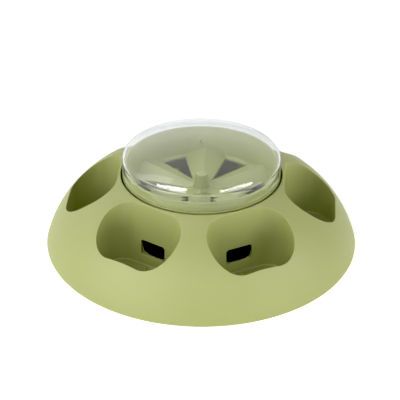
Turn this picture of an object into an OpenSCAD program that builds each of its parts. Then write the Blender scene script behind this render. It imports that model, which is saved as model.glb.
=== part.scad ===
// Slow feeder puzzle bowl: a domed base with pockets around a turning food tray under a clear lid.
// Millimetres, +Z up, origin on the table under the middle of the base.

/* [Base] */
// Diameter of the base at its bottom edge
base_d = 280; // [270:1:300]
// Height of the base's bottom edge above the table
rim_lift = 0.8; // [0.4:0.1:1.2]
// Height of the well's edge above the table
dome_h = 68.4; // [66:0.2:72]
// Radius of the arc that the dome's side follows
dome_r = 98; // [94:1:108]
// Thickness of the dome's skin
dome_wall = 2.6; // [2:0.1:3]
// Rounding of the edge where the dome turns down into the well
lip_r = 0.9; // [0.6:0.1:1.6]
// Diameter of the well that the turntable sits in
well_d = 143.2; // [140:0.2:146]
// Thickness of the tube around the well
well_wall = 2.4; // [2:0.1:3]

/* [Pockets] */
// Number of pockets, with as many outlets, drop holes and ridges
pockets = 6; // [5:1:6]
// Width of the ridge left between the well and each pocket
pocket_ridge = 1.8; // [1.4:0.1:3]
// Radial length of a pocket, level with the well's edge
pocket_l = 47.6; // [47.2:0.2:50]
// Width of a pocket across its radius, level with the well's edge
pocket_w = 78; // [66:0.2:80]
// Radius of the two corners next to the well, level with the well's edge
pocket_in_corner = 20.6; // [16:0.2:20.8]
// Radius of the two outer corners, level with the well's edge
pocket_out_corner = 24.6; // [20:0.2:26.8]
// Draft of the pocket's walls in degrees
pocket_draft = 2; // [1:0.5:3]
// Height of the pocket's floor above the table
pocket_floor_h = 8.4; // [8:0.2:14]
// Rounding between the pocket's wall and floor
pocket_fillet = 2; // [1.5:0.5:8]
// Thickness of the pocket's walls and floor
pocket_wall = 2.2; // [1.8:0.1:2.8]
// Outer diameter of the small ring moulded on the pocket's floor
floor_ring_d = 7.4; // [5:0.2:9]
// Height of that ring
floor_ring_h = 1; // [0.6:0.1:1.4]

/* [Outlets] */
// Width of the outlet window in a pocket's inner wall
window_w = 24.6; // [18:0.2:28]
// Height of the outlet window
window_h = 13.8; // [10:0.2:16]
// Height of the window's sill above the table
window_sill = 18.4; // [18:0.2:22]
// Corner radius of the window
window_corner = 2.2; // [1:0.1:4]

/* [Turntable] */
// Gap between the turntable's flange and the well
well_gap = 1.4; // [0.8:0.1:1.6]
// Height of the tray's floor above the table
tray_floor_h = 51.8; // [50:0.2:54]
// Depth of the tray from its rim to its floor
tray_depth = 26; // [24:0.5:28]
// Thickness of the tray's wall at its rim
tray_wall = 2; // [1.6:0.1:2.4]
// Thickness of the tray's floor and of the ridges
tray_floor = 2.4; // [2:0.1:3]
// Draft of the tray's wall in degrees
tray_draft = 9.5; // [6:0.5:10]
// Thickness of the flange that the lid stands on
flange_t = 2.4; // [2:0.1:3]
// Width of a ridge where it meets the wall
ridge_w = 40; // [34:1:44]
// Height of a ridge above the floor, at the wall
ridge_h = 7.6; // [7:0.2:9]
// How much lower the ridge's crest is at the middle
ridge_drop = 5.8; // [2:0.2:6]
// Width of the floor left between the drop holes and the wall
floor_ledge = 3.6; // [3:0.2:6]
// Height of the hub's top above the tray's floor
hub_h = 15; // [14:0.2:17]
// Diameter of the hub at its top
hub_d = 10.8; // [10.6:0.2:13]
// How much wider the hub is where it meets the ridges
hub_flare = 4; // [0.6:0.2:5]

/* [Lid] */
// Thickness of the clear lid
lid_wall = 2; // [1.6:0.1:2.2]
// How far the lid's skirt laps down over the tray's rim
lid_lap = 8.4; // [6:0.2:9]
// Height of the lid's crown above the tray's rim
lid_rise = 22; // [18:0.5:26]
// Radius of the lid's shallow dome
lid_dome_r = 180; // [160:5:260]
// Rounding of the lid's shoulder
lid_shoulder = 5; // [4:0.5:8]
// Diameter of the small moulding mark on the crown
lid_mark_d = 2.6; // [1.6:0.2:4]

/* [Pivot] */
// Diameter of the post that the turntable turns on
pivot_d = 6.4; // [6:0.1:6.6]
// Diameter of the thrust washer under the turntable
thrust_d = 20; // [16:0.5:24]
// Thickness of the thrust washer
thrust_t = 1.2; // [0.8:0.1:2]
// Diameter of the washer that keeps the turntable on its post
keeper_d = 7.6; // [7.2:0.1:7.8]
// Thickness of that washer
keeper_t = 0.8; // [0.5:0.1:1]
// Diameter of the pivot screw's head
pivot_head_d = 5.6; // [5:0.1:6]
// Height of the pivot screw's head
pivot_head_h = 2; // [1.6:0.1:2.4]
// Diameter of the pivot screw's shank
pivot_screw_d = 2.8; // [2.4:0.1:3]
// Length of the pivot screw below its head
pivot_screw_l = 12; // [8:0.5:14]
// Thickness of the cap that hides the pivot screw in the hub
cap_t = 0.9; // [0.6:0.1:1.2]
// Height left free between the screw's head and that cap
cap_room = 0.6; // [0.4:0.1:1]

/* [Distributor] */
// Thickness of the food distributor's cone
cone_wall = 2.4; // [2:0.1:3]
// Height of the edge that hangs from the cone's rim
cone_edge = 7; // [4:0.5:9]
// Diameter of the column under the cone's middle
column_d = 18; // [16:0.5:22]
// Bore of that column
column_bore = 11; // [8:0.5:12]
// Number of screw posts under the cone
posts = 3; // [3:1:6]
// Distance of the screw posts from the middle
post_r = 46; // [36:0.5:52]

/* [Floor] */
// Thickness of the floor plate
plate_t = 2.4; // [2.2:0.1:3]
// Height of the floor plate's underside above the base's bottom edge
plate_lift = 0.8; // [0.4:0.1:1.2]
// Height of the ring on the plate that centres the well's tube
ring_h = 3; // [2:0.2:5]
// Thickness of that ring
ring_t = 2; // [1.6:0.1:3]
// Distance of the screw bosses from the base's bottom edge
boss_inset = 22; // [18:0.5:28]
// Diameter of the screw bosses and posts
boss_d = 8; // [7:0.2:10]
// Diameter of a case screw's shank
screw_d = 2.8; // [2.4:0.1:3.2]
// Diameter of a case screw's countersunk head
screw_head_d = 5.8; // [5.2:0.1:6.4]
// Length of a case screw
screw_l = 14; // [10:0.5:16]
// Diameter of a rubber foot
foot_d = 14; // [10:0.5:18]
// Depth that a foot is let into the plate
foot_sink = 1.2; // [0.8:0.1:1.4]
// Distance of the feet from the base's bottom edge
foot_inset = 36; // [28:0.5:50]

/* [Clearances] */
// Radial running clearance of the turntable on its post
run_gap = 0.05; // [0.03:0.01:0.1]
// End play of the turntable under its keeper
end_gap = 0.2; // [0.1:0.05:0.4]
// Radial clearance of a piece that is set in place
set_gap = 0.4; // [0.2:0.05:0.6]
// Radial clearance between the lid's skirt and the tray's rim
lid_gap = 0.3; // [0.2:0.05:0.5]
// Gap where a moving piece rests on its seat
seat_gap = 0.1; // [0.05:0.01:0.15]
// Clearance of a screw in its hole
screw_gap = 0.05; // [0.02:0.01:0.1]

/* [Hidden] */

sage = [0.70, 0.73, 0.47];
charcoal = [0.16, 0.16, 0.15];
clear = [0.90, 0.92, 0.92, 0.35];
dark_rubber = [0.20, 0.20, 0.19];
steel = [0.72, 0.73, 0.74];
nylon = [0.92, 0.92, 0.89];

$fn = 96;
eps = 0.01;
over = 5;
far = 400;
step = 360 / pockets;
half_step = step / 2;

// Heights that stack up from the table
plate_z = rim_lift + plate_lift;
plate_top = plate_z + plate_t;
tray_rim_z = tray_floor_h + tray_depth;
tray_under_z = tray_floor_h - tray_floor;
tray_foot_z = tray_under_z - 1.1;
thrust_z = tray_foot_z - seat_gap - thrust_t;
flange_z = tray_rim_z - lid_lap - seat_gap;
hub_top_z = tray_floor_h + hub_h;
ridge_top_z = tray_floor_h + ridge_h;
keeper_z = hub_top_z - cap_t - cap_room - pivot_head_h - keeper_t;
keeper_seat_z = keeper_z - end_gap;
crown_z = tray_rim_z + lid_rise;

// Radii that nest outward from the middle
base_r = base_d / 2;
boss_r = base_r - boss_inset;
foot_r = base_r - foot_inset;
well_r = well_d / 2;
cone_r = well_r - set_gap;
flange_r = well_r - well_gap;
skirt_in_r = flange_r - lid_wall;
tray_rim_r = skirt_in_r - lid_gap;
tray_in_r = tray_rim_r - tray_wall;
tray_floor_r = tray_in_r - tray_depth * tan(tray_draft);
hole_r = tray_floor_r - floor_ledge;
hub_r = hub_d / 2;
hub_base_r = hub_r + hub_flare / 2;
bore_r = pivot_d / 2 + run_gap;
pilot_r = screw_d / 2 + screw_gap;

// Middle of the dome's arc, which runs from the bottom edge to the well's edge
chord = [well_r - base_r, dome_h - rim_lift];
arc_mid = [base_r, rim_lift] + chord / 2;
arc_out = [chord.y, -chord.x] / norm(chord);
arc_c = arc_mid - arc_out * sqrt(dome_r * dome_r - chord * chord / 4);
function dome_in_r(z) = arc_c.x + sqrt(pow(dome_r - dome_wall, 2) - pow(z - arc_c.y, 2));
plate_r = dome_in_r(plate_top) - set_gap;

// A pocket's plan is a rounded rectangle around four corner centres, two inner and two outer
pocket_start = well_r + pocket_ridge;
in_x = pocket_start + pocket_in_corner;
in_y = pocket_w / 2 - pocket_in_corner;
out_x = pocket_start + pocket_l - pocket_out_corner;
out_y = pocket_w / 2 - pocket_out_corner;
draft_k = tan(pocket_draft);

// Outer surface of the food distributor, a cone down to the window sills
cone_low_z = window_sill - 0.2;
cone_top_r = thrust_d / 2 + 2;
cone_drop = cone_wall / cos(atan((thrust_z - cone_low_z) / (cone_r - cone_top_r)));

// Places the children at each pocket's angle, or half way between two pockets
module at_pockets(turn = 0) {
    for (k = [0 : pockets - 1]) rotate(k * step + turn) children();
}

// Places the children at each screw boss of the dome and each post of the distributor
module at_bosses() {
    at_pockets(half_step) translate([boss_r, 0]) children();
}
module at_posts() {
    for (k = [0 : posts - 1]) rotate(half_step + k * 360 / posts) translate([post_r, 0]) children();
}

// Half section of the solid under the dome's skin, with the rounded lip of the well
module dome_solid_2d() {
    lip_x = well_r + lip_r;
    lip_z = arc_c.y + sqrt(pow(dome_r - lip_r, 2) - pow(lip_x - arc_c.x, 2));
    touch_x = arc_c.x + (lip_x - arc_c.x) * dome_r / (dome_r - lip_r);
    difference() {
        intersection() {
            translate(arc_c) circle(dome_r);
            translate([well_r, rim_lift]) square([far, far]);
        }
        difference() {
            translate([well_r - eps, lip_z]) square([touch_x - well_r + eps, far]);
            translate([lip_x, lip_z]) circle(lip_r);
        }
    }
}

// Half section of the space under the skin, outside the tube that lines the well
module dome_space_2d() {
    intersection() {
        translate(arc_c) circle(dome_r - dome_wall);
        translate([well_r + well_wall, rim_lift - over]) square([far, far]);
    }
    translate([well_r - over, rim_lift - over]) square([well_wall + 2 * over, plate_top - rim_lift + over]);
}

// Section of a pocket's hollow, measured out from the centre of a corner
module pocket_side_2d(corner) {
    slant = sqrt(1 + draft_k * draft_k);
    top_z = dome_h + over;
    wall_s = corner - dome_h * draft_k;
    fillet_z = pocket_floor_h + pocket_fillet;
    fillet_s = wall_s + fillet_z * draft_k - pocket_fillet * slant;
    fillet_end = [pocket_fillet * cos(pocket_draft), -pocket_fillet * sin(pocket_draft)];
    polygon([
        [0, pocket_floor_h], [fillet_s, pocket_floor_h], [fillet_s, fillet_z],
        [fillet_s, fillet_z] + fillet_end, [wall_s + top_z * draft_k, top_z], [0, top_z]]);
    translate([fillet_s, fillet_z]) circle(pocket_fillet);
}

// Hollow of a pocket: the side section carried around its four corner centres
module pocket_hollow() {
    translate([in_x, 0]) rotate([90, 0, 180])
        linear_extrude(2 * in_y, center = true) pocket_side_2d(pocket_in_corner);
    translate([out_x, 0]) rotate([90, 0, 0])
        linear_extrude(2 * out_y, center = true) pocket_side_2d(pocket_out_corner);
    translate([in_x, 0]) rotate([90, 0, 90]) linear_extrude(out_x - in_x) {
        for (side = [0, 1])
            mirror([side, 0]) translate([in_y, 0]) pocket_side_2d(pocket_in_corner);
        translate([-in_y - eps, pocket_floor_h])
            square([2 * (in_y + eps), dome_h + over - pocket_floor_h]);
    }
    for (side = [0, 1]) mirror([0, side]) {
        translate([out_x, out_y]) rotate_extrude(angle = 90) pocket_side_2d(pocket_out_corner);
        translate([in_x, in_y]) rotate(90) rotate_extrude(angle = 90) pocket_side_2d(pocket_in_corner);
    }
}

// Outside of a pocket's walls under the skin, upright
module pocket_block() {
    in_r = pocket_in_corner + pocket_wall;
    out_r = pocket_out_corner + pocket_wall;
    translate([0, 0, pocket_floor_h - pocket_wall]) linear_extrude(dome_h) {
        translate([in_x - in_r, -in_y]) square([in_r + eps, 2 * in_y]);
        translate([out_x - eps, -out_y]) square([out_r + eps, 2 * out_y]);
        translate([in_x, -in_y - in_r]) square([out_x - in_x, 2 * (in_y + in_r)]);
        for (side = [-1, 1]) {
            translate([in_x, side * in_y]) circle(in_r);
            translate([out_x, side * out_y]) circle(out_r);
        }
    }
}

// Rounded opening through the wall between a pocket and the well
module window_cut() {
    depth = pocket_ridge + 2 * over;
    r = window_corner;
    translate([well_r - over, 0, window_sill]) rotate([90, 0, 90]) linear_extrude(depth + over) {
        translate([-window_w / 2 + r, 0]) square([window_w - 2 * r, window_h]);
        translate([-window_w / 2, r]) square([window_w, window_h - 2 * r]);
        for (x = [-1, 1], y = [r, window_h - r])
            translate([x * (window_w / 2 - r), y]) circle(r);
    }
}

// Small ring moulded on a pocket's floor, in front of the window
module floor_ring() {
    translate([pocket_start + floor_ring_d, 0, pocket_floor_h - eps]) difference() {
        cylinder(h = floor_ring_h + eps, d = floor_ring_d);
        translate([0, 0, -eps]) cylinder(h = floor_ring_h + over, d = 0.66 * floor_ring_d);
    }
}

// Base moulding: the dome's skin, the pockets, the well's tube and the screw bosses
module dome_shell() {
    color(sage) {
        difference() {
            rotate_extrude() dome_solid_2d();
            difference() {
                rotate_extrude() dome_space_2d();
                at_pockets() pocket_block();
                at_bosses() translate([0, 0, plate_top]) cylinder(h = dome_h, d = boss_d);
            }
            at_pockets() pocket_hollow();
            at_pockets() window_cut();
            at_bosses() translate([0, 0, plate_top - eps]) cylinder(h = screw_l, r = pilot_r);
        }
        at_pockets() floor_ring();
    }
}

// Countersunk hole or screw body, pointing up from the floor plate's underside
module countersunk(gap, length) {
    head_h = (screw_head_d - screw_d) / 2;
    cylinder(h = head_h, d1 = screw_head_d + 2 * gap, d2 = screw_d + 2 * gap);
    cylinder(h = length, d = screw_d + 2 * gap);
}

// Plate that closes the base from below and stands it on its feet
module floor_plate() {
    ring_r = well_r - set_gap;
    color(charcoal) difference() {
        union() {
            translate([0, 0, plate_z]) cylinder(h = plate_t, r = plate_r);
            translate([0, 0, plate_top - eps]) difference() {
                cylinder(h = ring_h + eps, r = ring_r);
                translate([0, 0, -eps]) cylinder(h = ring_h + over, r = ring_r - ring_t);
            }
        }
        translate([0, 0, plate_z - eps]) {
            at_bosses() countersunk(screw_gap, plate_t + over);
            at_posts() countersunk(screw_gap, plate_t + over);
            at_pockets() translate([foot_r, 0]) cylinder(h = foot_sink + eps, d = foot_d + set_gap);
        }
    }
}

// Screws that hold the floor plate to the dome and to the distributor
module case_screws() {
    color(steel) translate([0, 0, plate_z]) {
        at_bosses() countersunk(0, screw_l);
        at_posts() countersunk(0, screw_l);
    }
}

// One rubber foot, let into the plate and tapered towards the table
module foot_pad(k) {
    foot_h = plate_z + foot_sink;
    taper_h = rim_lift;
    color(dark_rubber) rotate((k - 1) * step) translate([foot_r, 0]) {
        cylinder(h = taper_h, d1 = foot_d - 2 * taper_h, d2 = foot_d);
        translate([0, 0, taper_h]) cylinder(h = foot_h - taper_h, d = foot_d);
    }
}

// Half section under the distributor's upper surface
module cone_solid_2d() {
    polygon([
        [0, plate_top], [cone_r, plate_top], [cone_r, cone_low_z],
        [cone_top_r, thrust_z], [0, thrust_z]]);
}

// Cone that spreads the falling food to the outlets and carries the pivot post
module food_distributor() {
    color(charcoal) difference() {
        union() {
            rotate_extrude() polygon([
                [cone_r - cone_wall, cone_low_z - cone_edge], [cone_r, cone_low_z - cone_edge],
                [cone_r, cone_low_z], [cone_top_r, thrust_z], [0, thrust_z],
                [0, thrust_z - cone_drop], [cone_top_r, thrust_z - cone_drop],
                [cone_r - cone_wall, cone_low_z - cone_drop + cone_wall * (thrust_z - cone_low_z)
                    / (cone_r - cone_top_r)]]);
            intersection() {
                rotate_extrude() cone_solid_2d();
                translate([0, 0, plate_top]) union() {
                    cylinder(h = thrust_z, d = column_d);
                    at_posts() cylinder(h = thrust_z, d = boss_d);
                }
            }
            translate([0, 0, thrust_z - eps]) cylinder(h = keeper_z - thrust_z + eps, d = pivot_d);
        }
        translate([0, 0, plate_top - eps]) {
            cylinder(h = thrust_z - cone_drop - plate_top, d = column_bore);
            at_posts() cylinder(h = screw_l, r = pilot_r);
        }
        translate([0, 0, keeper_z - pivot_screw_l])
            cylinder(h = pivot_screw_l + over, d = pivot_screw_d + 2 * screw_gap);
    }
}

// Slip washer between the distributor and the turntable's hub
module thrust_washer() {
    color(nylon) translate([0, 0, thrust_z]) difference() {
        cylinder(h = thrust_t, d = thrust_d);
        translate([0, 0, -eps]) cylinder(h = thrust_t + over, d = pivot_d + 2 * set_gap);
    }
}

// Washer on top of the post that keeps the turntable down
module keeper_washer() {
    color(steel) translate([0, 0, keeper_z]) difference() {
        cylinder(h = keeper_t, d = keeper_d);
        translate([0, 0, -eps]) cylinder(h = keeper_t + over, d = pivot_screw_d + 2 * screw_gap);
    }
}

// Screw down the middle of the post, with a domed cross-slotted head
module pivot_screw() {
    slot_w = 0.9;
    slot_l = 3.4;
    slot_deep = 1.1;
    head_z = keeper_z + keeper_t;
    ball_r = (pow(pivot_head_d / 2, 2) + pow(pivot_head_h, 2)) / (2 * pivot_head_h);
    color(steel) difference() {
        union() {
            translate([0, 0, head_z - pivot_screw_l]) cylinder(h = pivot_screw_l + eps, d = pivot_screw_d);
            intersection() {
                translate([0, 0, head_z]) cylinder(h = pivot_head_h, d = pivot_head_d);
                translate([0, 0, head_z + pivot_head_h - ball_r]) sphere(ball_r);
            }
        }
        for (turn = [0, 90])
            rotate(turn) translate([-slot_l / 2, -slot_w / 2, head_z + pivot_head_h - slot_deep])
                cube([slot_l, slot_w, slot_deep + over]);
    }
}

// Cap pressed into the hub's top over the screw, with a bevelled edge
module hub_cap() {
    cap_d = keeper_d + set_gap - 2 * seat_gap;
    bevel = cap_t / 3;
    color(sage) translate([0, 0, hub_top_z - cap_t]) {
        cylinder(h = cap_t - bevel, d = cap_d);
        translate([0, 0, cap_t - bevel]) cylinder(h = bevel, d1 = cap_d, d2 = cap_d - 2 * bevel);
    }
}

// Half section of the tray's wall, its rounded rim, its flange and the ledge around its floor
module tray_wall_2d() {
    rim_round = tray_wall / 2;
    rim_z = tray_rim_z - rim_round;
    lean = tan(tray_draft);
    foot_r_out = tray_floor_r + tray_wall - tray_floor * lean;
    under_flange_z = flange_z - flange_t;
    polygon([
        [hole_r, tray_under_z], [foot_r_out, tray_under_z],
        [foot_r_out + (under_flange_z - tray_under_z) * lean, under_flange_z],
        [flange_r, under_flange_z], [flange_r, flange_z], [tray_rim_r, flange_z],
        [tray_rim_r, rim_z], [tray_in_r - rim_round * lean, rim_z],
        [tray_floor_r, tray_floor_h], [hole_r, tray_floor_h]]);
    translate([tray_rim_r - rim_round, rim_z]) circle(rim_round);
}

// Block under a ridge, set in by a wall's thickness: a roof of even pitch whose crest rises outwards, so that
// its foot widens towards the wall
module ridge_block(inset) {
    pitch = 2 * ridge_h / ridge_w;
    rise = ridge_drop / tray_floor_r;
    tilt = atan(rise);
    start = hub_r / 2;
    spread = rise / pitch;
    edge = inset * sqrt(1 + spread * spread);
    foot_start = (ridge_h - ridge_drop) / pitch + start * spread - edge;
    foot_end = ridge_w / 2 - edge;
    crest_z = ridge_top_z - ridge_drop - inset * sqrt(1 + pitch * pitch + rise * rise);
    top = crest_z * cos(tilt);
    side = (crest_z - ridge_w * pitch) * cos(tilt);
    intersection() {
        translate([0, 0, tray_under_z]) linear_extrude(tray_depth)
            polygon([[start, -foot_start], [tray_floor_r, -foot_end], [tray_floor_r, foot_end],
                     [start, foot_start]]);
        rotate([0, -tilt, 0]) rotate([90, 0, 90]) translate([0, 0, -ridge_w])
            linear_extrude(tray_floor_r + 2 * ridge_w)
                polygon([[-ridge_w, 0], [-ridge_w, side], [0, top], [ridge_w, side], [ridge_w, 0]]);
    }
}

// One hollow ridge from the middle out to the wall
module ridge() {
    difference() {
        ridge_block(0);
        translate([0, 0, -eps]) ridge_block(tray_floor);
    }
}

// Turning tray: a cup whose floor is six ridges around a hub, with a drop hole between each two
module turntable_tray() {
    hub_foot_r = thrust_d / 2 - 1;
    color(sage) difference() {
        union() {
            rotate_extrude() tray_wall_2d();
            at_pockets(half_step) ridge();
            translate([0, 0, tray_foot_z]) cylinder(h = tray_floor_h - tray_foot_z, r = hub_foot_r);
            translate([0, 0, tray_under_z])
                cylinder(h = hub_top_z - tray_under_z, r1 = hub_base_r, r2 = hub_r);
        }
        translate([0, 0, tray_foot_z - eps]) cylinder(h = hub_h + tray_depth, r = bore_r);
        translate([0, 0, keeper_seat_z]) cylinder(h = hub_h, d = keeper_d + set_gap);
    }
}

// Half section of the lid's outside, or of its inside when cut is the wall
module lid_solid_2d(cut) {
    r = lid_shoulder - cut;
    dome = lid_dome_r - cut;
    arc_z = crown_z - lid_dome_r;
    side = flange_r - cut;
    shoulder_z = arc_z + sqrt(pow(dome - r, 2) - pow(side - r, 2));
    low_z = tray_rim_z - lid_lap - 2 * cut;
    touch = [side - r, shoulder_z - arc_z] * dome / (dome - r);
    intersection() {
        translate([0, arc_z]) circle(dome);
        translate([0, low_z]) square([touch.x, far]);
    }
    translate([0, low_z]) square([side, shoulder_z - low_z]);
    translate([side - r, shoulder_z]) circle(r);
}

// Clear cap that stands on the tray's flange and wraps its rim
module clear_lid() {
    color(clear) {
        rotate_extrude() difference() {
            lid_solid_2d(0);
            lid_solid_2d(lid_wall);
        }
        translate([0, 0, crown_z - eps]) cylinder(h = 0.4, d = lid_mark_d);
    }
}

dome_shell();
floor_plate();
case_screws();
food_distributor();
thrust_washer();
turntable_tray();
keeper_washer();
pivot_screw();
hub_cap();
clear_lid();
for (k = [1 : pockets]) foot_pad(k);
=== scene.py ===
import math
from collections import namedtuple

import bmesh
import bpy
from mathutils import Matrix, Vector


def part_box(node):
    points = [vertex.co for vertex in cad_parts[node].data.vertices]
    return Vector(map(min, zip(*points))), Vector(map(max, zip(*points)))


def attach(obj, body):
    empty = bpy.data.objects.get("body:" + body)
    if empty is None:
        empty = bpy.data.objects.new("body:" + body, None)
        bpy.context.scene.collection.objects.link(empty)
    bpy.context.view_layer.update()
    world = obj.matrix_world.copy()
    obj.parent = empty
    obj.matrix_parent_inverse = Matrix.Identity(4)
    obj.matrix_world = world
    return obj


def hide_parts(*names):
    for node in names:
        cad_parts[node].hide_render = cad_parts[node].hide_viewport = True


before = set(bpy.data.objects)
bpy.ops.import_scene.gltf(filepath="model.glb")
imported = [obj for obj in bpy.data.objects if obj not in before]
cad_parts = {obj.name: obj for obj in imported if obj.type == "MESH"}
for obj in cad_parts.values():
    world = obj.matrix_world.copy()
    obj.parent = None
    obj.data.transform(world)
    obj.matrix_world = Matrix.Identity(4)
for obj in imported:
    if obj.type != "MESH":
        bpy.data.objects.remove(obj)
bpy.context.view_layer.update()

scene = bpy.context.scene

# Sizes are in millimetres; outer ones come from the frame, and main ones are those of the part's source
MM = 0.001
TINY = 0.01
SMOOTH_ANGLE = math.radians(38.0)
dome_low, dome_high = (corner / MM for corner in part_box("dome_shell"))
tray_low, tray_high = (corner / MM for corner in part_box("turntable_tray"))
cap_low, cap_high = (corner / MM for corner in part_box("hub_cap"))
lid_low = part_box("clear_lid")[0] / MM

# Base moulding
BASE_R = dome_high.x
RIM_LIFT = dome_low.z
DOME_H = 68.4
DOME_R = 98.0
DOME_WALL = 2.6
WALL_LEAN = 0.6
BOTTOM_ROUND = 0.7
BOTTOM_IN_ROUND = 0.4
FLANGE_R = tray_high.x
WELL_GAP = 1.4
WELL_R = FLANGE_R + WELL_GAP
WELL_LIP = 0.7
UNDERSIDE = 4.05

# Pockets around the well; their foot is rounded less than the part's, so that it catches no line of light
POCKETS = 6
HALF_STEP = math.pi / POCKETS
POCKET_RIDGE = 1.8
POCKET_START = WELL_R + POCKET_RIDGE
POCKET_L = 47.6
POCKET_END = POCKET_START + POCKET_L
POCKET_W = 78.0
IN_CORNER = 20.6
OUT_CORNER = 24.6
IN_X = POCKET_START + IN_CORNER
IN_Y = POCKET_W / 2 - IN_CORNER
OUT_X = POCKET_END - OUT_CORNER
OUT_Y = POCKET_W / 2 - OUT_CORNER
DRAFT = math.tan(math.radians(2.0))
LIP_IN = 0.45
LIP_OUT = 0.65
FLOOR_H = 8.4
FILLET = 1.0
FOOT_Z = FLOOR_H + FILLET
FLOOR_RING_D = 7.4
FLOOR_RING_H = 1.0
FLOOR_RING_BAND = 0.17 * FLOOR_RING_D

# Window between a pocket and the well, wider on the well's side
WINDOW_W = 24.6
WINDOW_H = 13.8
WINDOW_SILL = 18.4
WINDOW_TOP = WINDOW_SILL + WINDOW_H
WINDOW_MIDDLE = WINDOW_SILL + WINDOW_H / 2
WINDOW_CORNER = 2.2
WINDOW_FLARE_W = 3.4
WINDOW_FLARE_H = 2.4
WINDOW_EDGE = 0.4

# Rows and guide circles of the base's mesh, and the marks of its edges
CORNER_STEPS = 16
RIM_PASSES = 8
UPPER_ROWS = 7
ABOVE_WINDOW = 1.5
WINDOW_ROWS = [WINDOW_TOP, WINDOW_TOP - WINDOW_CORNER, WINDOW_MIDDLE,
               WINDOW_SILL + WINDOW_CORNER, WINDOW_SILL]
FOOT_STEPS = 8
LIP_STEPS = 5
SKIN_ROWS = [0.04, 0.15, 0.3, 0.48, 0.66, 0.84, 1.0]
SKIRT_R = 127.0
SKIRT_ROWS = 10
SIDE_R = 97.0
TUBE_ROWS = [62.0, 54.0, 46.0, 38.0] + WINDOW_ROWS + [12.0, UNDERSIDE]
UNDER_EDGE = 1
JAMB_EDGE = 2

# Turntable tray
LID_WALL = 2.0
LID_GAP = 0.3
SEAT_GAP = 0.1
TRAY_FLOOR_H = 51.8
TRAY_FLOOR_T = 2.4
TRAY_DEPTH = 26.0
TRAY_WALL = 2.0
TRAY_LEAN = math.tan(math.radians(9.5))
TRAY_UNDER = TRAY_FLOOR_H - TRAY_FLOOR_T
TRAY_FOOT = tray_low.z
TRAY_RIM_Z = TRAY_FLOOR_H + TRAY_DEPTH
TRAY_RIM_R = FLANGE_R - LID_WALL - LID_GAP
TRAY_IN_R = TRAY_RIM_R - TRAY_WALL
TRAY_FLOOR_R = TRAY_IN_R - TRAY_DEPTH * TRAY_LEAN
TRAY_FOOT_R = TRAY_FLOOR_R + TRAY_WALL - TRAY_FLOOR_T * TRAY_LEAN
FLANGE_Z = lid_low.z - SEAT_GAP
FLANGE_T = 2.4
FLANGE_UNDER = FLANGE_Z - FLANGE_T
FLOOR_LEDGE = 3.6
HOLE_R = TRAY_FLOOR_R - FLOOR_LEDGE
HOLE_ROUND = 0.6
HOLE_UNDER_ROUND = 0.5
TRAY_FOOT_ROUND = 1.0
TRAY_FLOOR_ROUND = 2.0
TRAY_RIM_ROUND = 0.95
FLANGE_ROUND = 0.6
FLANGE_SEAT_ROUND = 0.4
FLANGE_UNDER_ROUND = 0.8

# Ridges of the tray's floor
RIDGE_HALF = 20.0
RIDGE_H = 7.6
RIDGE_DROP = 5.8
RIDGE_START = 4.4
RIDGE_IN_WALL = 1.5
RIDGE_ENDS = 9
RIDGE_END_TURN = math.radians(2.2)
CREST_LOW = TRAY_FLOOR_H + RIDGE_H - RIDGE_DROP
CREST_RISE = RIDGE_DROP / TRAY_FLOOR_R
CREST_ROUND = 0.4
BRINK_ROUND = 0.5
PITCH = RIDGE_H / RIDGE_HALF
SHEET = 90.0

# Hub post and its cap
HUB_TOP = cap_high.z
HUB_R = 5.4
HUB_ROOT_R = 6.9
HUB_ROOT_Z = TRAY_FLOOR_H + 1.7
HUB_FOOT_R = 9.0
HUB_FOOT_Z = TRAY_FLOOR_H + 1.4
HUB_FILLET = 1.6
HUB_FOOT_ROUND = 0.4
HUB_TOP_ROUND = 0.5
BORE_R = 3.25
RECESS_R = 4.0
KEEPER_SEAT = 62.3
FINE_ROUND = 0.1
CAP_R = cap_high.x
CAP_LOW = cap_low.z
CAP_CROWN = 0.12
CAP_CROWN_R = 0.6 * CAP_R
CAP_CROWN_ROUND = 2.0

# Clear lid and the small mark of its moulding
LID_LOW = lid_low.z
LID_RISE = 22.0
LID_CROWN = TRAY_RIM_Z + LID_RISE
LID_DOME_R = 180.0
LID_SHOULDER = 5.0
LID_EDGE = 0.7
SKIRT_TOP = 75.0
MARK_R = 1.3
MARK_RIM = 0.75
MARK_HOLLOW_R = 0.6
MARK_FOOT = LID_CROWN - 0.6
MARK_HOLLOW = LID_CROWN + 0.1
MARK_TOP = LID_CROWN + 0.38
MARK_ROUND = 0.3
MARK_IN_ROUND = 0.2

# Middle of the arc that the dome's side follows
chord = Vector((WELL_R - BASE_R, DOME_H - RIM_LIFT))
arc_out = Vector((chord.y, -chord.x)).normalized()
arc_depth = math.sqrt(DOME_R ** 2 - chord.length_squared / 4)
ARC = Vector((BASE_R, RIM_LIFT)) + chord / 2 - arc_out * arc_depth

# Middle of the well's rounded lip, and where the dome's side runs into it
LIP_X = WELL_R + WELL_LIP
LIP_Z = ARC.y + math.sqrt((DOME_R - WELL_LIP) ** 2 - (LIP_X - ARC.x) ** 2)
LIP_TURN = math.atan2(LIP_Z - ARC.y, LIP_X - ARC.x)
TOUCH_R = LIP_X + WELL_LIP * math.cos(LIP_TURN)


def dome_height(r):
    """Height of the dome's surface at distance r from the axis."""
    return ARC.y + math.sqrt(DOME_R ** 2 - (r - ARC.x) ** 2)


def polar(r, angle, z):
    return Vector((r * math.cos(angle), r * math.sin(angle), z))


def distance_out(co):
    return co.to_2d().length


def everything(bm):
    return bm.verts[:] + bm.edges[:] + bm.faces[:]


def round_edges(bm, edges, size, steps):
    bmesh.ops.bevel(bm, geom=edges, affect="EDGES", offset=size, offset_type="OFFSET", segments=steps,
                    profile=0.5, material=-1)


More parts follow.
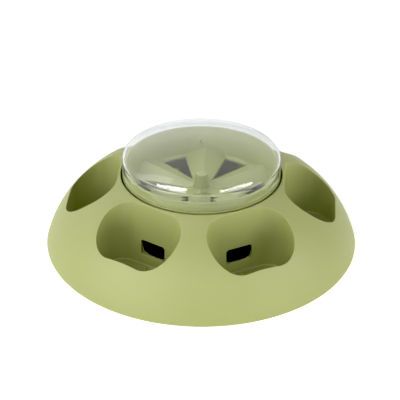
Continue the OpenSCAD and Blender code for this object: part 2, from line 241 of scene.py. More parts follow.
def finish_piece(bm, name, body, material, replaces):
    """Turns a bmesh in millimetres into a finished piece that rides on a body and replaces a node."""
    bmesh.ops.scale(bm, vec=(MM, MM, MM), verts=bm.verts)
    for face in bm.faces:
        face.smooth = True
    for edge in bm.edges:
        edge.smooth = len(edge.link_faces) == 2 and edge.calc_face_angle(0.0) < SMOOTH_ANGLE
    mesh = bpy.data.meshes.new(name)
    bm.to_mesh(mesh)
    bm.free()
    mesh.materials.append(material)
    piece = bpy.data.objects.new(name, mesh)
    scene.collection.objects.link(piece)
    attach(piece, body)
    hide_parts(replaces)


def put_in(bm, part):
    """Adds a part made in its own bmesh to another one."""
    mesh = bpy.data.meshes.new("part")
    part.to_mesh(mesh)
    part.free()
    bm.from_mesh(mesh)
    bpy.data.meshes.remove(mesh)


def rounded(corners, closed=False, steps=6):
    """Outline through (r, z, rounding) corners, with each corner turned into an arc."""
    line = []
    count = len(corners)
    for i, (r, z, size) in enumerate(corners):
        here = Vector((r, z))
        if size <= 0 or (not closed and i in (0, count - 1)):
            line.append((r, z))
            continue
        back = (Vector(corners[i - 1][:2]) - here).normalized()
        on = (Vector(corners[(i + 1) % count][:2]) - here).normalized()
        half = back.angle(on) / 2
        reach = size / math.tan(half)
        middle = here + (back + on).normalized() * size / math.sin(half)
        start = here + back * reach - middle
        end = here + on * reach - middle
        sweep = start.angle_signed(end)
        for k in range(steps + 1):
            line.append(tuple(middle + Matrix.Rotation(-sweep * k / steps, 2) @ start))
    return line


def arc_line(cx, cz, r, start, end, steps):
    """Points of an arc in the (r, z) plane, its angles taken from the outward direction."""
    turns = (start + (end - start) * k / steps for k in range(steps + 1))
    return [(cx + r * math.cos(a), cz + r * math.sin(a)) for a in turns]


def turned(line, steps=144, closed=False):
    """Solid of revolution around the axis, from an outline of (r, z) points."""
    bm = bmesh.new()
    verts = [bmesh.ops.create_vert(bm, co=(line[0][0], 0, line[0][1]))["vert"][0]]
    for r, z in line[1:]:
        v = bmesh.ops.extrude_vert_indiv(bm, verts=verts[-1:])["verts"][0]
        v.co = (r, 0, z)
        verts.append(v)
    if closed:
        bmesh.ops.contextual_create(bm, geom=[verts[0], verts[-1]])
    bmesh.ops.spin(bm, geom=bm.verts[:] + bm.edges[:], cent=(0, 0, 0), axis=(0, 0, 1), dvec=(0, 0, 0),
                   angle=2 * math.pi, steps=steps, use_merge=True, use_duplicate=False)
    bmesh.ops.remove_doubles(bm, verts=bm.verts, dist=TINY / 10)
    bmesh.ops.recalc_face_normals(bm, faces=bm.faces)
    return bm


def around(bm, count):
    """Repeats all of a bmesh around the axis and joins the copies where they meet."""
    bmesh.ops.spin(bm, geom=everything(bm), cent=(0, 0, 0), axis=(0, 0, 1), dvec=(0, 0, 0),
                   angle=2 * math.pi * (count - 1) / count, steps=count - 1, use_duplicate=True)
    bmesh.ops.remove_doubles(bm, verts=bm.verts, dist=TINY)


def extrude_ring(bm, edges):
    """Extrudes a chain of edges; gives the new vertices, the new chain and what each vertex grew from."""
    old = {v for e in edges for v in e.verts}
    geom = bmesh.ops.extrude_edge_only(bm, edges=edges)["geom"]
    fresh = [g for g in geom if isinstance(g, bmesh.types.BMVert)]
    grown = [g for g in geom if isinstance(g, bmesh.types.BMEdge) and not old.intersection(g.verts)]
    parent = {}
    for v in fresh:
        parent[v] = next(e.other_vert(v) for e in v.link_edges if e.other_vert(v) in old)
    return fresh, grown, parent


def grow(bm, ring, root, place):
    """Extrudes a pocket's ring once; place gives a new vertex its point from the root that it grew from."""
    fresh, ring, parent = extrude_ring(bm, ring)
    for v in fresh:
        root[v] = root[parent[v]]
        v.co = place(root[v])
    return ring


def grow_turned(bm, arc, line):
    """Extrudes an arc around the axis along an outline of (r, z) points; gives the last arc."""
    for r, z in line:
        fresh, arc, _ = extrude_ring(bm, arc)
        for v in fresh:
            v.co = polar(r, math.atan2(v.co.y, v.co.x), z)
    return arc


# Base moulding

Spot = namedtuple("Spot", "centre out radius wall rim skin")


def corner_of(x, y):
    """Centre of the corner that a point of a pocket's plan belongs to, the way out from it, its radius."""
    if x < (IN_X + OUT_X) / 2:
        centre = Vector((IN_X, max(-IN_Y, min(IN_Y, y)), 0.0))
        radius = IN_CORNER
    else:
        centre = Vector((OUT_X, max(-OUT_Y, min(OUT_Y, y)), 0.0))
        radius = OUT_CORNER
    return centre, (Vector((x, y, 0.0)) - centre).normalized(), radius


def wall_point(centre, out, radius, z, inset=0.0):
    """Point of a pocket's wall at height z, or an inset in from it; the wall leans in by its draft."""
    point = centre + out * (radius - (DOME_H - z) * DRAFT - inset)
    point.z = z
    return point


def pocket_spot(x, y):
    """Where a point of a pocket's plan comes to stand: under the rounded lip, at the rim, on the skin."""
    corner = corner_of(x, y)
    centre, out, _ = corner
    rim_z = DOME_H
    for _ in range(RIM_PASSES):
        rim = wall_point(*corner, rim_z)
        rim_z = dome_height(distance_out(rim))
    rim.z = rim_z
    lip = LIP_IN + (LIP_OUT - LIP_IN) * (1 + out.x) / 2
    skin = centre + out * (distance_out(rim - centre) + lip)
    skin.z = dome_height(distance_out(skin))
    return Spot(*corner, wall_point(*corner, rim_z - lip), rim, skin)


def upper_wall(spot, part):
    """Point of the wall between its lip and the rows beside the window."""
    z = spot.wall.z + (WINDOW_TOP + ABOVE_WINDOW - spot.wall.z) * part
    return wall_point(*spot[:3], z)


def foot_point(spot, turn):
    """Point of the rounding between the wall and the pocket's floor."""
    point = wall_point(*spot[:3], FOOT_Z, FILLET * (1 - math.cos(turn)))
    point.z -= FILLET * math.sin(turn)
    return point


def lip_point(spot, part):
    """Point of the rounding between the wall and the skin."""
    return spot.wall * (1 - part) ** 2 + spot.rim * 2 * part * (1 - part) + spot.skin * part ** 2


def skin_point(spot, border, part):
    """Point of the dome's skin between the lip and the border of a sixth."""
    r = distance_out(spot.skin) * (1 - part) + border[0] * part
    angle = math.atan2(spot.skin.y, spot.skin.x) * (1 - part) + border[1] * part
    return polar(r, angle, dome_height(r))


def pocket_plan(bm):
    """Outline of a pocket seen from above: a rectangle with rounded corners, cut for the window's sides."""
    bmesh.ops.create_grid(bm, x_segments=1, y_segments=1, size=0.5)
    bmesh.ops.scale(bm, vec=(POCKET_L, POCKET_W, 1.0), verts=bm.verts)
    bmesh.ops.translate(bm, vec=(POCKET_START + POCKET_L / 2, 0.0, 0.0), verts=bm.verts)
    for end, radius in ((POCKET_START, IN_CORNER), (POCKET_END, OUT_CORNER)):
        corners = [v for v in bm.verts if abs(v.co.x - end) < TINY]
        bmesh.ops.bevel(bm, geom=corners, affect="VERTICES", offset=radius, segments=CORNER_STEPS,
                        profile=0.5, material=-1)
    bmesh.ops.delete(bm, geom=bm.faces[:], context="FACES_ONLY")
    jamb = WINDOW_W / 2
    flat = jamb - WINDOW_CORNER
    inner = [0.0, flat / 3, flat * 2 / 3, flat, jamb, (jamb + IN_Y) / 2, IN_Y]
    outer = [OUT_Y * k / 5 for k in range(6)]
    for end, spots in ((POCKET_START, inner), (POCKET_END, outer)):
        side = [e for e in bm.edges if all(abs(v.co.x - end) < TINY for v in e.verts)]
        bmesh.ops.subdivide_edges(bm, edges=side, cuts=2 * len(spots) - 3)
        row = sorted((v for v in bm.verts if abs(v.co.x - end) < TINY), key=lambda v: v.co.y)
        for v, y in zip(row, [-y for y in spots[:0:-1]] + spots):
            v.co.y = y


def sixth_border(half, spots):
    """Where the skin from each vertex of half a pocket ends: the skirt, the next sixth or the well."""
    almost = 0.999
    diagonal = almost * math.sqrt(0.5)
    way = [spots[v].out.x for v in half]
    bend_out = max(i for i, x in enumerate(way) if x > diagonal)
    side = next(i for i, x in enumerate(way) if x < 1 - almost)
    bend_in = next(i for i, x in enumerate(way) if x < -diagonal)
    flat = next(i for i, x in enumerate(way) if x < -almost)
    flat_turn = math.asin(IN_Y / WELL_R)
    border = {}
    for i, v in enumerate(half):
        if i <= bend_out:
            r, angle = SKIRT_R, HALF_STEP * i / bend_out
        elif i <= side:
            r, angle = SKIRT_R + (SIDE_R - SKIRT_R) * (i - bend_out) / (side - bend_out), HALF_STEP
        elif i <= bend_in:
            r, angle = SIDE_R + (TOUCH_R - SIDE_R) * (i - side) / (bend_in - side), HALF_STEP
        elif i < flat:
            r, angle = TOUCH_R, HALF_STEP + (flat_turn - HALF_STEP) * (i - bend_in) / (flat - bend_in)
        else:
            r, angle = TOUCH_R, math.asin(min(1.0, spots[v].wall.y / WELL_R))
        border[v] = (r, max(angle, 0.0))
    return border


def arc_edges(bm, r):
    """Open edges that lie on a circle of radius r around the axis."""
    return [e for e in bm.edges
            if e.is_boundary and all(abs(distance_out(v.co) - r) < TINY / 10 for v in e.verts)]


def in_window(co):
    return abs(co.y) < WINDOW_W / 2 + TINY and WINDOW_SILL - TINY < co.z < WINDOW_TOP + TINY


def from_corner(co):
    """How far a point is past the start of the nearest rounded corner, that start's height, and the way."""
    start_z = WINDOW_TOP - WINDOW_CORNER if co.z > WINDOW_MIDDLE else WINDOW_SILL + WINDOW_CORNER
    past_y = abs(co.y) - (WINDOW_W / 2 - WINDOW_CORNER)
    return past_y, abs(co.z - start_z), start_z, math.copysign(1.0, co.z - start_z)


def cut_window(bm, on_wall):
    """Opens the window in one wall, with rounded corners; gives the edges around it."""
    corner = WINDOW_CORNER

    def inside(v):
        return in_window(v.co) and on_wall(v.co)

    def on_jamb(v):
        return abs(abs(v.co.y) - WINDOW_W / 2) < TINY

    def on_sill_or_top(v):
        return min(abs(v.co.z - WINDOW_TOP), abs(v.co.z - WINDOW_SILL)) < TINY

    def is_corner_cell(face):
        middle = face.calc_center_median()
        return from_corner(middle)[0] > TINY and abs(middle.z - WINDOW_MIDDLE) > WINDOW_H / 2 - corner

    def stays(face):
        past = [from_corner(v.co)[:2] for v in face.verts]
        return len(past) == 3 and any(min(spot) > corner - TINY for spot in past)

    def is_slanted(edge):
        span = edge.verts[0].co - edge.verts[1].co
        return abs(span.y) > TINY and abs(span.z) > TINY

    cells = [f for f in bm.faces if all(inside(v) for v in f.verts)]
    for face in cells[:]:
        if is_corner_cell(face):
            ends = [v for v in face.verts if on_jamb(v) != on_sill_or_top(v)]
            cells.append(bmesh.utils.face_split(face, ends[0], ends[1])[0])
    bmesh.ops.delete(bm, geom=[f for f in set(cells) if not stays(f)], context="FACES")
    slants = [e for e in bm.edges if e.is_boundary and all(inside(v) for v in e.verts) and is_slanted(e)]
    bmesh.ops.subdivide_edges(bm, edges=slants, cuts=4)
    for v in bm.verts:
        if not (inside(v) and v.is_boundary):
            continue
        past_y, past_z, start_z, way = from_corner(v.co)
        if TINY < past_y < corner - TINY and TINY < past_z < corner - TINY:
            turn = past_y / corner * math.pi / 2
            v.co.y = math.copysign(WINDOW_W / 2 - corner + corner * math.sin(turn), v.co.y)
            v.co.z = start_z + way * corner * math.cos(turn)
            if v.co.x < POCKET_START:
                v.co.x = math.sqrt(WELL_R ** 2 - v.co.y ** 2)
            else:
                v.co.x = POCKET_START + (DOME_H - v.co.z) * DRAFT
    return [e for e in bm.edges if e.is_boundary and all(inside(v) for v in e.verts)]


def bottom_line():
    """Outline of the dome's side below the sixths, its rounded bottom edge and the inside of that edge."""
    start = math.asin((SKIRT_R - ARC.x) / DOME_R)
    end = math.asin((BASE_R - ARC.x) / DOME_R)
    side = []
    for k in range(1, SKIRT_ROWS + 1):
        a = start + (end - start) * k / SKIRT_ROWS
        side.append((ARC.x + DOME_R * math.sin(a), ARC.y + DOME_R * math.cos(a), 0.0))
    side[-1] = (*side[-1][:2], BOTTOM_ROUND)
    return rounded(side + [(BASE_R - DOME_WALL, RIM_LIFT, BOTTOM_IN_ROUND),
                           (BASE_R - DOME_WALL - WALL_LEAN, UNDERSIDE, 0.0)], steps=4)


def floor_ring():
    """The small ring on a pocket's floor."""
    half_band = FLOOR_RING_BAND / 2
    middle = FLOOR_RING_D / 2 - half_band
    points = 14
    turns = (2 * math.pi * k / points for k in range(points))
    line = [(middle + half_band * math.cos(t), FLOOR_H + FLOOR_RING_H * math.sin(t)) for t in turns]
    ring = turned(line, steps=40, closed=True)
    bmesh.ops.translate(ring, vec=(POCKET_START + FLOOR_RING_D, 0, 0), verts=ring.verts)
    return ring


def make_dome():
    """A sixth of the base with its pocket, window and floor ring, repeated around the well."""
    bm = bmesh.new()
    mark = bm.edges.layers.int.new("edge_mark")
    pocket_plan(bm)
    middle_x = POCKET_START + POCKET_L / 2
    half = sorted((v for v in bm.verts if v.co.y > -TINY),
                  key=lambda v: math.atan2(max(0.0, v.co.y), v.co.x - middle_x))
    first_ring = bm.edges[:]
    spots = {v: pocket_spot(v.co.x, v.co.y) for v in bm.verts}
    for v, spot in spots.items():
        v.co = spot.wall
    border = sixth_border(half, spots)
    for v in spots:
        if v not in border:
            twin = min(half, key=lambda u: (u.co.x - v.co.x) ** 2 + (u.co.y + v.co.y) ** 2)
            border[v] = (border[twin][0], -border[twin][1])

    # The pocket's walls, the rounding at their foot and the floor
    ring, root = first_ring, {v: v for v in spots}
    for k in range(1, UPPER_ROWS + 1):
        ring = grow(bm, ring, root, lambda v: upper_wall(spots[v], k / UPPER_ROWS))
    for z in WINDOW_ROWS + [FOOT_Z]:
        ring = grow(bm, ring, root, lambda v: wall_point(*spots[v][:3], z))
    for k in range(1, FOOT_STEPS + 1):
        ring = grow(bm, ring, root, lambda v: foot_point(spots[v], math.pi / 2 * k / FOOT_STEPS))
    bmesh.ops.edgeloop_fill(bm, edges=ring)

    # The rounded lip, then the skin out to the border of the sixth
    ring, root = first_ring, {v: v for v in spots}
    for k in range(1, LIP_STEPS + 1):
        ring = grow(bm, ring, root, lambda v: lip_point(spots[v], k / LIP_STEPS))
    for part in SKIN_ROWS:
        ring = grow(bm, ring, root, lambda v: skin_point(spots[v], border[v], part))

    # The side down to the bottom edge, and the well's rounded lip with its tube
    outer_arc, inner_arc = arc_edges(bm, SKIRT_R), arc_edges(bm, TOUCH_R)
    lip_line = arc_line(LIP_X, LIP_Z, WELL_LIP, LIP_TURN, math.pi, steps=LIP_STEPS)[1:]
    tube_line = [(WELL_R, z) for z in TUBE_ROWS]
    for arc, line in ((outer_arc, bottom_line()), (inner_arc, lip_line + tube_line)):
        for e in grow_turned(bm, arc, line):
            e[mark] = UNDER_EDGE

    # The window between the pocket and the well
    hole = cut_window(bm, lambda co: abs(distance_out(co) - WELL_R) < TINY)
    hole += cut_window(bm, lambda co: POCKET_START < co.x < IN_X - IN_CORNER / 2)
    for v in {v for e in hole for v in e.verts if distance_out(v.co) < WELL_R + TINY}:
        v.co.y *= 1 + WINDOW_FLARE_W / WINDOW_W
        v.co.z = WINDOW_MIDDLE + (v.co.z - WINDOW_MIDDLE) * (1 + WINDOW_FLARE_H / WINDOW_H)
        v.co.x = math.sqrt(WELL_R ** 2 - v.co.y ** 2)
    for e in hole:
        e[mark] = JAMB_EDGE
    bmesh.ops.bridge_loops(bm, edges=hole)

    put_in(bm, floor_ring())
    around(bm, POCKETS)
    bmesh.ops.bridge_loops(bm, edges=[e for e in bm.edges if e[mark] == UNDER_EDGE])
    bmesh.ops.recalc_face_normals(bm, faces=bm.faces)
    round_edges(bm, [e for e in bm.edges if e[mark] == JAMB_EDGE], WINDOW_EDGE, steps=3)
    return bm


# Turntable tray

def tray_cup():
    """The tray's wall with its rounded rim and its flange, and the ledge around its floor."""
    return turned(rounded([
        (HOLE_R, TRAY_UNDER, HOLE_UNDER_ROUND), (TRAY_FOOT_R, TRAY_UNDER, TRAY_FOOT_ROUND),
        (TRAY_FOOT_R + (FLANGE_UNDER - TRAY_UNDER) * TRAY_LEAN, FLANGE_UNDER, FLANGE_UNDER_ROUND),
        (FLANGE_R, FLANGE_UNDER, FLANGE_ROUND), (FLANGE_R, FLANGE_Z, FLANGE_ROUND),
        (TRAY_RIM_R, FLANGE_Z, FLANGE_SEAT_ROUND), (TRAY_RIM_R, TRAY_RIM_Z, TRAY_RIM_ROUND),
        (TRAY_IN_R, TRAY_RIM_Z, TRAY_RIM_ROUND), (TRAY_FLOOR_R, TRAY_FLOOR_H, TRAY_FLOOR_ROUND),
        (HOLE_R, TRAY_FLOOR_H, HOLE_ROUND)], closed=True), closed=True)


def ridge_roof():
    """Half a ridge's roof, cut from a flat sheet and raised, then mirrored, repeated and thickened."""
    roof = bmesh.new()
    foot_middle = (CREST_LOW - TRAY_FLOOR_H) / PITCH
    foot_way = Vector((-CREST_RISE / PITCH, 1.0, 0.0)).normalized()
    cuts = [((0, 0, 0), (0, -1, 0)), ((0, foot_middle, 0), foot_way), ((RIDGE_START, 0, 0), (-1, 0, 0)),
            ((0, 0, 0), (-math.sin(HALF_STEP), math.cos(HALF_STEP), 0))]
    for k in range(RIDGE_ENDS):
        ray = polar(1.0, RIDGE_END_TURN * k, 0.0)
        cuts.append((ray * (TRAY_FLOOR_R + RIDGE_IN_WALL), ray))
    bmesh.ops.create_grid(roof, x_segments=1, y_segments=1, size=SHEET)
    for co, no in cuts:
        bmesh.ops.bisect_plane(roof, geom=everything(roof), plane_co=co, plane_no=no, clear_outer=True)
    for v in roof.verts:
        v.co.z = CREST_LOW + CREST_RISE * v.co.x - PITCH * v.co.y
    crest, brink = roof.edges.layers.int.new("crest"), roof.edges.layers.int.new("brink")
    for e in roof.edges:
        e[crest] = all(v.co.y < TINY for v in e.verts)
        e[brink] = all(abs(v.co.z - TRAY_FLOOR_H) < TINY for v in e.verts)
    bmesh.ops.mirror(roof, geom=everything(roof), matrix=Matrix(), merge_dist=TINY, axis="Y")
    bmesh.ops.rotate(roof, cent=(0, 0, 0), matrix=Matrix.Rotation(HALF_STEP, 3, "Z"), verts=roof.verts)
    around(roof, POCKETS)
    bmesh.ops.recalc_face_normals(roof, faces=roof.faces)
    sheet = bmesh.ops.extrude_face_region(roof, geom=roof.faces[:])["geom"]
    low = {g for g in sheet if isinstance(g, bmesh.types.BMVert)}
    bmesh.ops.translate(roof, vec=(0, 0, -TRAY_FLOOR_T), verts=list(low))
    bmesh.ops.recalc_face_normals(roof, faces=roof.faces)
    crests = [e for e in roof.edges if e[crest] and not low.intersection(e.verts)]
    round_edges(roof, crests, CREST_ROUND, steps=4)
    brinks = [e for e in roof.edges
              if e[brink] and all(abs(v.co.z - TRAY_FLOOR_H) < TINY for v in e.verts)]
    round_edges(roof, brinks, BRINK_ROUND, steps=3)
    return roof


def hub_post():
    """The hub post with its spread foot, its bore and the recess for its screw."""
    return turned(rounded([
        (BORE_R, TRAY_FOOT, 2 * FINE_ROUND), (HUB_FOOT_R, TRAY_FOOT, HUB_FOOT_ROUND),
        (HUB_FOOT_R, HUB_FOOT_Z, 2 * FINE_ROUND), (HUB_ROOT_R, HUB_ROOT_Z, HUB_FILLET),
        (HUB_R, HUB_TOP, HUB_TOP_ROUND), (RECESS_R, HUB_TOP, FINE_ROUND), (RECESS_R, KEEPER_SEAT, 0),
        (BORE_R, KEEPER_SEAT, FINE_ROUND)], closed=True), steps=64, closed=True)


def make_tray():
    """Cup with a rounded rim and a flange, a floor of six ridges around a hub."""
    bm = tray_cup()
    put_in(bm, ridge_roof())
    put_in(bm, hub_post())
    return bm


def make_cap():
    """Slightly crowned cap in the hub's top."""
    return turned(rounded([
        (0, CAP_LOW, 0), (CAP_R, CAP_LOW, FINE_ROUND), (CAP_R, HUB_TOP - CAP_CROWN, 2 * FINE_ROUND),
        (CAP_CROWN_R, HUB_TOP - CAP_CROWN / 4, CAP_CROWN_ROUND), (0, HUB_TOP, 0)], steps=4), steps=48)


# Clear lid

def lid_line(cut):
    """Half of the lid's outside from the crown down to its shoulder's end, or of its inside."""
    r = LID_SHOULDER - cut
    dome = LID_DOME_R - cut
    low = LID_CROWN - LID_DOME_R
    side = FLANGE_R - cut
    shoulder_z = low + math.sqrt((dome - r) ** 2 - (side - r) ** 2)
    lean = math.atan2(shoulder_z - low, side - r)
    crown = arc_line(0.0, low, dome, math.pi / 2, lean, steps=28)
    return crown + arc_line(side - r, shoulder_z, r, lean, 0.0, steps=9)[1:]


def make_lid():
    """Shallow clear dome with a rounded shoulder and a skirt, and the small mark of its moulding."""
    skirt_in_r = FLANGE_R - LID_WALL
    skirt = rounded([(FLANGE_R, SKIRT_TOP, 0), (FLANGE_R, LID_LOW, LID_EDGE),
                     (skirt_in_r, LID_LOW, LID_EDGE), (skirt_in_r, SKIRT_TOP, 0)])
    bm = turned(lid_line(0.0) + skirt + lid_line(LID_WALL)[::-1], steps=160)
    put_in(bm, turned(rounded([
        (0, MARK_FOOT, 0), (MARK_R, MARK_FOOT, 0), (MARK_R, MARK_TOP, MARK_ROUND),
        (MARK_RIM, MARK_TOP, MARK_IN_ROUND), (MARK_HOLLOW_R, MARK_HOLLOW, 0), (0, MARK_HOLLOW, 0)],
        steps=4), steps=32))
    return bm


# Materials

def add_node(tree, kind, **values):
    """New node in a tree, with values for its inputs; an underscore stands for a space in their names."""
    node = tree.nodes.new(kind)
    for name, value in values.items():
        node.inputs[name.replace("_", " ")].default_value = value
    return node


def moulding_group():
    """Slow drift of tone from the melt's flow, patches of gloss, and the fine grain that a mould leaves."""
    group = bpy.data.node_groups.new("moulded_surface", "ShaderNodeTree")
    for name, way, kind in (("Color", "INPUT", "Color"), ("Drift Color", "INPUT", "Color"),
                            ("Grain Scale", "INPUT", "Float"), ("Low Roughness", "INPUT", "Float"),
                            ("High Roughness", "INPUT", "Float"), ("Color", "OUTPUT", "Color"),
                            ("Roughness", "OUTPUT", "Float"), ("Height", "OUTPUT", "Float")):
        group.interface.new_socket(name=name, in_out=way, socket_type="NodeSocket" + kind)
    link = group.links.new
    take, give = add_node(group, "NodeGroupInput"), add_node(group, "NodeGroupOutput")
    place = add_node(group, "ShaderNodeTexCoord")
    drift = add_node(group, "ShaderNodeTexNoise", Scale=14.0, Detail=3.0, Distortion=0.6)
    grain = add_node(group, "ShaderNodeTexNoise", Detail=2.0)
    smudge = add_node(group, "ShaderNodeTexNoise", Scale=60.0, Detail=4.0)
    for tex in (drift, grain, smudge):
        link(place.outputs["Object"], tex.inputs["Vector"])
    band = add_node(group, "ShaderNodeMapRange", From_Min=0.35, From_Max=0.65)
    link(drift.outputs["Fac"], band.inputs["Value"])
    tint = add_node(group, "ShaderNodeMix")
    tint.data_type = "RGBA"
    link(band.outputs["Result"], tint.inputs["Factor"])
    link(take.outputs["Color"], tint.inputs["A"])
    link(take.outputs["Drift Color"], tint.inputs["B"])
    link(tint.outputs["Result"], give.inputs["Color"])
    rough = add_node(group, "ShaderNodeMapRange", From_Min=0.3, From_Max=0.7)
    link(smudge.outputs["Fac"], rough.inputs["Value"])
    link(take.outputs["Low Roughness"], rough.inputs["To Min"])
    link(take.outputs["High Roughness"], rough.inputs["To Max"])
    link(rough.outputs["Result"], give.inputs["Roughness"])
    link(take.outputs["Grain Scale"], grain.inputs["Scale"])
    link(grain.outputs["Fac"], give.inputs["Height"])
    return group


SURFACE = moulding_group()


def surfaced(name, color, drift, gloss, grain):
    """Material with the shared surface: two tones, least and most roughness, grain; gives its nodes too."""
    mat = bpy.data.materials.new(name)
    mat.use_nodes = True
    tree = mat.node_tree
    shader = tree.nodes["Principled BSDF"]
    surface = tree.nodes.new("ShaderNodeGroup")
    surface.node_tree = SURFACE
    for socket, value in (("Color", (*color, 1)), ("Drift Color", (*drift, 1)), ("Grain Scale", grain),
                          ("Low Roughness", gloss[0]), ("High Roughness", gloss[1])):
        surface.inputs[socket].default_value = value
    tree.links.new(surface.outputs["Color"], shader.inputs["Base Color"])
    tree.links.new(surface.outputs["Roughness"], shader.inputs["Roughness"])
    return mat, shader, surface


def add_relief(mat, shader, surface, strength, depth):
    """Lets the surface's grain stand out by a depth in metres."""
    relief = add_node(mat.node_tree, "ShaderNodeBump", Strength=strength, Distance=depth)
    mat.node_tree.links.new(surface.outputs["Height"], relief.inputs["Height"])
    mat.node_tree.links.new(relief.outputs["Normal"], shader.inputs["Normal"])


def moulded(name, color, drift, gloss, grain=1500.0, bump=0.06, specular=0.5):
    """Moulded plastic or rubber with its own colours, gloss and grain."""
    mat, shader, surface = surfaced(name, color, drift, gloss, grain)
    shader.inputs["Specular IOR Level"].default_value = specular
    add_relief(mat, shader, surface, strength=bump, depth=0.0002)
    return mat


def clear_plastic():
    """Polished clear plastic with a faint haze, which lets light through to what it covers."""
    mat, shader, surface = surfaced("clear_lid_plastic", (0.885, 0.895, 0.905), (0.865, 0.875, 0.885),
                                    (0.0, 0.03), grain=300.0)
    shader.inputs["Transmission Weight"].default_value = 1.0
    shader.inputs["IOR"].default_value = 1.49
    tree = mat.node_tree
    through = add_node(tree, "ShaderNodeBsdfTransparent", Color=(0.98, 0.985, 0.98, 1))
    path = add_node(tree, "ShaderNodeLightPath")
    mix = add_node(tree, "ShaderNodeMixShader")
    tree.links.new(path.outputs["Is Shadow Ray"], mix.inputs["Fac"])
    tree.links.new(shader.outputs["BSDF"], mix.inputs[1])
    tree.links.new(through.outputs["BSDF"], mix.inputs[2])
    tree.links.new(mix.outputs["Shader"], tree.nodes["Material Output"].inputs["Surface"])
    return mat


def plated_steel():
    """Zinc-plated steel with a fine grain."""
    mat, shader, surface = surfaced("plated_steel", (0.62, 0.63, 0.65), (0.5, 0.51, 0.53), (0.24, 0.42),
                                    grain=4000.0)
    shader.inputs["Metallic"].default_value = 1.0
    add_relief(mat, shader, surface, strength=0.1, depth=0.0001)
    return mat


SAGE = moulded("sage_base", (0.455, 0.495, 0.162), (0.44, 0.48, 0.157), (0.42, 0.52), specular=0.6)
SAGE_TRAY = moulded("sage_tray", (0.4, 0.44, 0.142), (0.385, 0.425, 0.136), (0.3, 0.4))
# Near-black for the parts inside the base, dark enough to paint the shade inside it, so that the windows
# into the base look black
NEAR_BLACK_SHADE = moulded("near_black_shade_inside", (0.018, 0.019, 0.016), (0.024, 0.025, 0.021), (0.6, 0.75),
                   grain=1200.0, bump=0.1, specular=0.05)
RUBBER = moulded("foot_rubber", (0.035, 0.035, 0.033), (0.045, 0.045, 0.042), (0.7, 0.85),
                 grain=900.0, bump=0.2)
NYLON = moulded("nylon_washer", (0.8, 0.8, 0.76), (0.76, 0.76, 0.71), (0.35, 0.45))
PAPER = moulded("floor_paper", (0.9, 0.9, 0.9), (0.89, 0.89, 0.89), (0.8, 0.9),
                grain=200.0, bump=0.02, specular=0.1)
CLEAR = clear_plastic()
STEEL = plated_steel()

finish_piece(make_dome(), "dome_moulding", "base", SAGE, "dome_shell")
finish_piece(make_tray(), "tray_moulding", "turntable", SAGE_TRAY, "turntable_tray")
finish_piece(make_cap(), "hub_plug", "turntable", SAGE_TRAY, "hub_cap")
finish_piece(make_lid(), "lid_moulding", "lid", CLEAR, "clear_lid")

finishes = {"floor_plate": NEAR_BLACK_SHADE, "food_distributor": NEAR_BLACK_SHADE, "thrust_washer": NYLON,
            "case_screws": STEEL, "pivot_screw": STEEL, "keeper_washer": STEEL}
finishes.update({f"foot_pad_{k}": RUBBER for k in range(1, POCKETS + 1)})
for node, mat in finishes.items():
    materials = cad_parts[node].data.materials
    materials.clear()
    materials.append(mat)

# Camera at the photograph's viewing angle; places from here on are in metres
CAM_AZ = math.radians(3.9)
CAM_EL = math.radians(32.696)
CAM_D = 1.3
CAM_YAW = math.radians(0.053)
CAM_PITCH = math.radians(1.445)
CAM_ROLL = math.radians(-0.31)
IMAGE_PX = 400.0
FOCAL_PX = 1425.6
SENSOR_W = 36.0
swing = Matrix.Rotation(CAM_AZ, 4, "Z")


def make_camera():
    """Camera that stands on its circle around the axis and is turned a little by yaw, pitch and roll."""
    ahead = Vector((0.0, math.cos(CAM_EL), -math.sin(CAM_EL)))
    right = Vector((1.0, 0.0, 0.0))
    up = right.cross(ahead)
    stand = Vector((0.0, 0.0, RIM_LIFT * MM)) - CAM_D * ahead
    turn = Matrix.Rotation(CAM_YAW, 3, up)
    ahead, right = turn @ ahead, turn @ right
    turn = Matrix.Rotation(CAM_PITCH, 3, right)
    ahead, up = turn @ ahead, turn @ up
    turn = Matrix.Rotation(CAM_ROLL, 3, ahead)
    right, up = turn @ right, turn @ up
    lens = bpy.data.cameras.new("camera")
    lens.sensor_width = SENSOR_W
    lens.lens = FOCAL_PX / IMAGE_PX * SENSOR_W
    lens.clip_start = 0.05
    lens.clip_end = 20.0
    camera = bpy.data.objects.new("camera", lens)
    scene.collection.objects.link(camera)
    axes = Matrix((right, up, -ahead)).transposed().to_4x4()
    camera.matrix_world = swing @ Matrix.Translation(stand) @ axes
    scene.camera = camera


make_camera()

# Pale floor, which glows a little so that it stays white
FLOOR_HALF = 6.0
FLOOR_GLOW = 0.66
bm = bmesh.new()
bmesh.ops.create_grid(bm, x_segments=1, y_segments=1, size=FLOOR_HALF)
floor_mesh = bpy.data.meshes.new("floor")
bm.to_mesh(floor_mesh)
bm.free()
floor = bpy.data.objects.new("floor", floor_mesh)
scene.collection.objects.link(floor)
paper_shader = PAPER.node_tree.nodes["Principled BSDF"]
paper_shader.inputs["Emission Color"].default_value = (1, 1, 1, 1)
paper_shader.inputs["Emission Strength"].default_value = FLOOR_GLOW
floor_mesh.materials.append(PAPER)

# Soft boxes around the object, and strips overhead that show in the lid
BOX_DISTANCE = 1.6
BOX_TARGET = Vector((0.0, 0.0, 0.04))
STRIP_TARGET = Vector((0.0, -0.06, 0.087))


def area_light(name, spot, target, turn, size, radiance):
    """Rectangular light at a spot, facing a target and turned in its own plane."""
    light = bpy.data.lights.new(name, "AREA")
    light.shape = "RECTANGLE"
    light.size, light.size_y = size
    light.energy = math.pi * size[0] * size[1] * radiance
    lamp = bpy.data.objects.new(name, light)
    scene.collection.objects.link(lamp)
    look = (target - spot).to_track_quat("-Z", "Y").to_matrix().to_4x4()
    twist = Matrix.Rotation(math.radians(turn), 4, "Z")
    lamp.matrix_world = swing @ Matrix.Translation(spot) @ look @ twist
    return lamp


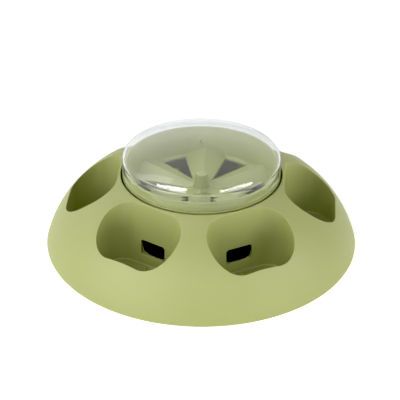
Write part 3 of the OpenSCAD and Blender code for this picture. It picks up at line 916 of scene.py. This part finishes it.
def soft_box(name, azimuth, elevation, size, radiance):
    """Soft box that faces the object, placed by its angles from the camera's own side."""
    a, e = math.radians(azimuth), math.radians(elevation)
    way = Vector((math.sin(a) * math.cos(e), -math.cos(a) * math.cos(e), math.sin(e)))
    return area_light(name, way * BOX_DISTANCE, BOX_TARGET, 0.0, size, radiance)


def strip_light(name, spot, turn, size, radiance):
    """Narrow light overhead that only shows as a reflection."""
    lamp = area_light(name, Vector(spot), STRIP_TARGET, turn, size, radiance)
    lamp.visible_diffuse = False


soft_box("soft_box_left", azimuth=-60, elevation=25, size=(1.2, 1.1), radiance=2.3)
soft_box("soft_box_right", azimuth=67, elevation=25, size=(1.4, 1.1), radiance=2.4)
top_box = soft_box("soft_box_top", azimuth=-120, elevation=50, size=(0.9, 0.9), radiance=2.0)
top_box.visible_glossy = False
soft_box("soft_box_front", azimuth=-9, elevation=42, size=(1.6, 0.8), radiance=1.15)
strip_light("strip_left", spot=(-0.275, 0.277, 1.0), turn=-65, size=(0.3, 0.09), radiance=13)
strip_light("strip_right", spot=(0.317, 0.31, 1.0), turn=79, size=(0.37, 0.065), radiance=10)

# White room that shows only in reflections and through the lid, brighter on the left than on the right
ROOM_BRIGHT = 2.07
ROOM_DIM = 1.12
ROOM_BRIGHT_SIDE = Vector((-0.92, -0.39, 0.0))
ROOM_BRIGHT_FROM = -0.6
ROOM_BRIGHT_TO = 0.8
ROOM_BELT = ((0.0, 0.57), (0.32, 1.0), (0.9, 0.84))
BLACK_POINT = 0.012


def product(tree, first, second):
    """Product of two outputs in a node tree."""
    node = tree.nodes.new("ShaderNodeMath")
    node.operation = "MULTIPLY"
    tree.links.new(first, node.inputs[0])
    tree.links.new(second, node.inputs[1])
    return node.outputs["Value"]


def make_room():
    """Room whose brightness changes from side to side and, by its belt of shades, with height."""
    world = bpy.data.worlds.new("studio")
    scene.world = world
    world.use_nodes = True
    world.cycles_visibility.diffuse = False
    tree = world.node_tree
    room = tree.nodes["Background"]
    room.inputs["Color"].default_value = (1, 1, 1, 1)
    place = add_node(tree, "ShaderNodeTexCoord")
    facing = add_node(tree, "ShaderNodeVectorMath")
    facing.operation = "DOT_PRODUCT"
    facing.inputs[1].default_value = swing @ ROOM_BRIGHT_SIDE
    tree.links.new(place.outputs["Generated"], facing.inputs[0])
    bright = add_node(tree, "ShaderNodeMapRange", From_Min=ROOM_BRIGHT_FROM, From_Max=ROOM_BRIGHT_TO,
                      To_Min=ROOM_DIM, To_Max=ROOM_BRIGHT)
    tree.links.new(facing.outputs["Value"], bright.inputs["Value"])
    height = add_node(tree, "ShaderNodeSeparateXYZ")
    tree.links.new(place.outputs["Generated"], height.inputs["Vector"])
    belt = add_node(tree, "ShaderNodeValToRGB")
    stops = belt.color_ramp.elements
    stops.new(ROOM_BELT[1][0])
    for stop, (level, shade) in zip(stops, ROOM_BELT):
        stop.position = level
        stop.color = (shade, shade, shade, 1)
    tree.links.new(height.outputs["Z"], belt.inputs["Fac"])

    # Light that has bounced off a matt surface doesn't see the room
    path = add_node(tree, "ShaderNodeLightPath")
    shown = add_node(tree, "ShaderNodeMath")
    shown.operation = "LESS_THAN"
    shown.inputs[1].default_value = 0.5
    tree.links.new(path.outputs["Diffuse Depth"], shown.inputs[0])
    lit = product(tree, bright.outputs["Result"], belt.outputs["Color"])
    tree.links.new(product(tree, lit, shown.outputs["Value"]), room.inputs["Strength"])


make_room()
scene.view_settings.view_transform = "Standard"
scene.view_settings.use_curve_mapping = True
scene.view_settings.curve_mapping.black_level = (BLACK_POINT,) * 3
